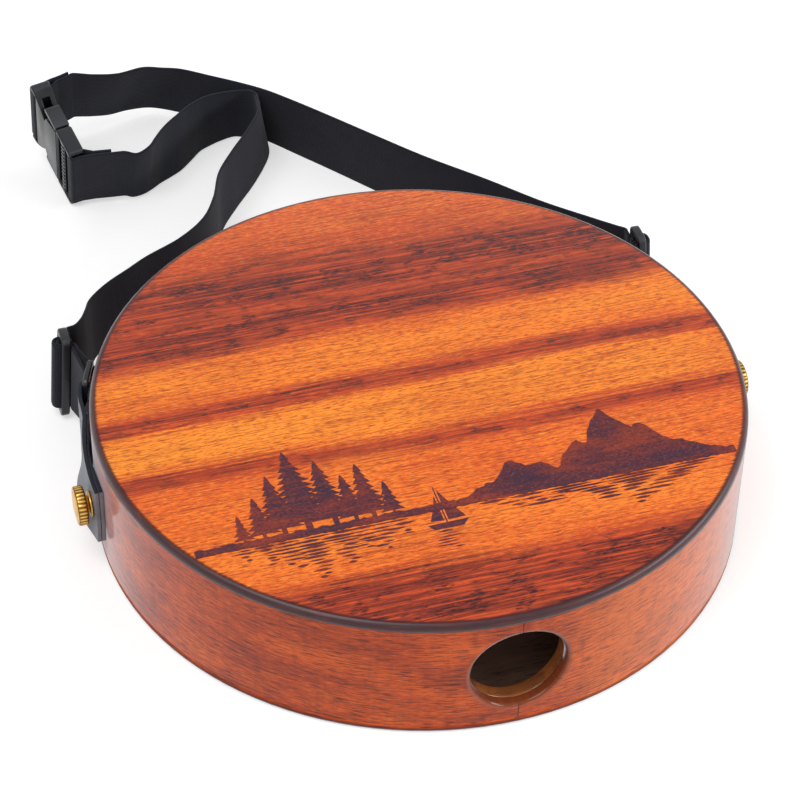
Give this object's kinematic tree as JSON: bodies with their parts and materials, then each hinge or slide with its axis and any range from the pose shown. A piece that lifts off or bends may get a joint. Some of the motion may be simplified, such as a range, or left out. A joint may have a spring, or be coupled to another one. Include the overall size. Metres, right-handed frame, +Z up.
{
  "type": "laptop cajon",
  "caption": "Shallow round lap cajon with a side sound hole, brass thumbscrews, leather tabs and an adjustable waist strap with a side-release buckle.",
  "frame": {"origin": "centre of the drum's underside", "axes": "+Z up through the playing face, -Y out through the sound hole, thumbscrews on the X axis"},
  "size_m": [0.3244, 0.4777, 0.066],
  "materials": {
    "top_lacquer": "satin lacquer over figured orange wood",
    "side_lacquer": "satin lacquer, red-brown",
    "bare_wood": "unfinished",
    "brass": "polished",
    "steel": "drawn wire",
    "leather": "matte with dyed cut edges",
    "black_plastic": "satin moulded",
    "webbing": "woven"
  },
  "bodies": {
    "drum": {"drum_hoop": "side_lacquer", "top_plate": "top_lacquer", "back_plate": "bare_wood", "lower_lining": "bare_wood", "upper_lining": "bare_wood", "splice_block": "bare_wood", "snare_bar": "bare_wood", "snare_coil_1": "steel", "snare_coil_2": "steel", "screw_block_left": "bare_wood", "screw_block_right": "bare_wood", "threaded_insert_left": "brass", "threaded_insert_right": "brass", "buckle_female": "black_plastic", "strap_loop_female": "webbing", "strap_back": "webbing", "strap_front": "webbing"},
    "washer_left": {"washer_left": "brass"},
    "thumbscrew_left": {"thumbscrew_left": "brass"},
    "tab_left": {"leather_tab_left": "leather"},
    "ring_left": {"ring_left": "black_plastic", "webbing_left": "webbing"},
    "slider_left": {"slider_left": "black_plastic"},
    "washer_right": {"washer_right": "brass"},
    "thumbscrew_right": {"thumbscrew_right": "brass"},
    "tab_right": {"leather_tab_right": "leather"},
    "ring_right": {"ring_right": "black_plastic", "webbing_right": "webbing"},
    "slider_right": {"slider_right": "black_plastic"},
    "buckle_male": {"buckle_male": "black_plastic", "strap_loop_male": "webbing"},
    "prong_upper": {"prong_upper": "black_plastic"},
    "prong_lower": {"prong_lower": "black_plastic"}
  },
  "joints": [
    {"name": "washer_left_travel", "type": "slide", "parent": "drum", "child": "washer_left", "axis": [-1, 0, 0], "range_m": [0, 0.008]},
    {"name": "thumbscrew_left_turn", "type": "hinge", "parent": "washer_left", "child": "thumbscrew_left", "pos_m": [-0.156, 0, 0.033], "axis": [-1, 0, 0], "range_deg": [0, 3600]},
    {"name": "tab_left_swivel", "type": "hinge", "parent": "drum", "child": "tab_left", "pos_m": [-0.152, 0, 0.033], "axis": [1, 0, 0], "range_deg": [0, 15], "deforming": ["leather_tab_left", "strap_front"]},
    {"name": "ring_left_swing", "type": "hinge", "parent": "tab_left", "child": "ring_left", "pos_m": [-0.14264, 0.06267, 0.0265], "axis": [0, 0, 1], "range_deg": [-6, 45], "deforming": ["leather_tab_left", "strap_front"]},
    {"name": "slider_left_adjust", "type": "slide", "parent": "ring_left", "child": "slider_left", "axis": [0, 1, 0], "range_m": [-0.008, 0.03], "deforming": ["webbing_left", "strap_front"]},
    {"name": "washer_right_travel", "type": "slide", "parent": "drum", "child": "washer_right", "axis": [1, 0, 0], "range_m": [0, 0.008]},
    {"name": "thumbscrew_right_turn", "type": "hinge", "parent": "washer_right", "child": "thumbscrew_right", "pos_m": [0.156, 0, 0.033], "axis": [1, 0, 0], "range_deg": [0, 3600]},
    {"name": "tab_right_swivel", "type": "hinge", "parent": "drum", "child": "tab_right", "pos_m": [0.152, 0, 0.033], "axis": [1, 0, 0], "range_deg": [0, 15], "deforming": ["leather_tab_right", "strap_back"]},
    {"name": "ring_right_swing", "type": "hinge", "parent": "tab_right", "child": "ring_right", "pos_m": [0.14264, 0.06267, 0.0265], "axis": [0, 0, -1], "range_deg": [-6, 45], "deforming": ["leather_tab_right", "strap_back"]},
    {"name": "slider_right_adjust", "type": "slide", "parent": "ring_right", "child": "slider_right", "axis": [0, 1, 0], "range_m": [-0.008, 0.03], "deforming": ["webbing_right", "strap_back"]},
    {"name": "buckle_release", "type": "slide", "parent": "drum", "child": "buckle_male", "axis": [0.1839, -0.9459, -0.2672], "range_m": [0, 0.03], "deforming": ["prong_upper", "prong_lower", "strap_front"]},
    {"name": "prong_upper_squeeze", "type": "hinge", "parent": "buckle_male", "child": "prong_upper", "pos_m": [-0.11218, 0.26665, 0.04418], "axis": [-0.9828, -0.172, -0.0672], "range_deg": [0, 8], "stiffness_Nm_per_rad": 0.2},
    {"name": "prong_lower_squeeze", "type": "hinge", "parent": "buckle_male", "child": "prong_lower", "pos_m": [-0.11154, 0.27655, 0.00958], "axis": [0.9828, 0.172, 0.0672], "range_deg": [0, 8], "stiffness_Nm_per_rad": 0.2}
  ],
  "couplings": [
    {"joint": "thumbscrew_left_turn", "follows": "washer_left_travel", "rad_per_m": 7854},
    {"joint": "thumbscrew_right_turn", "follows": "washer_right_travel", "rad_per_m": 7854}
  ]
}
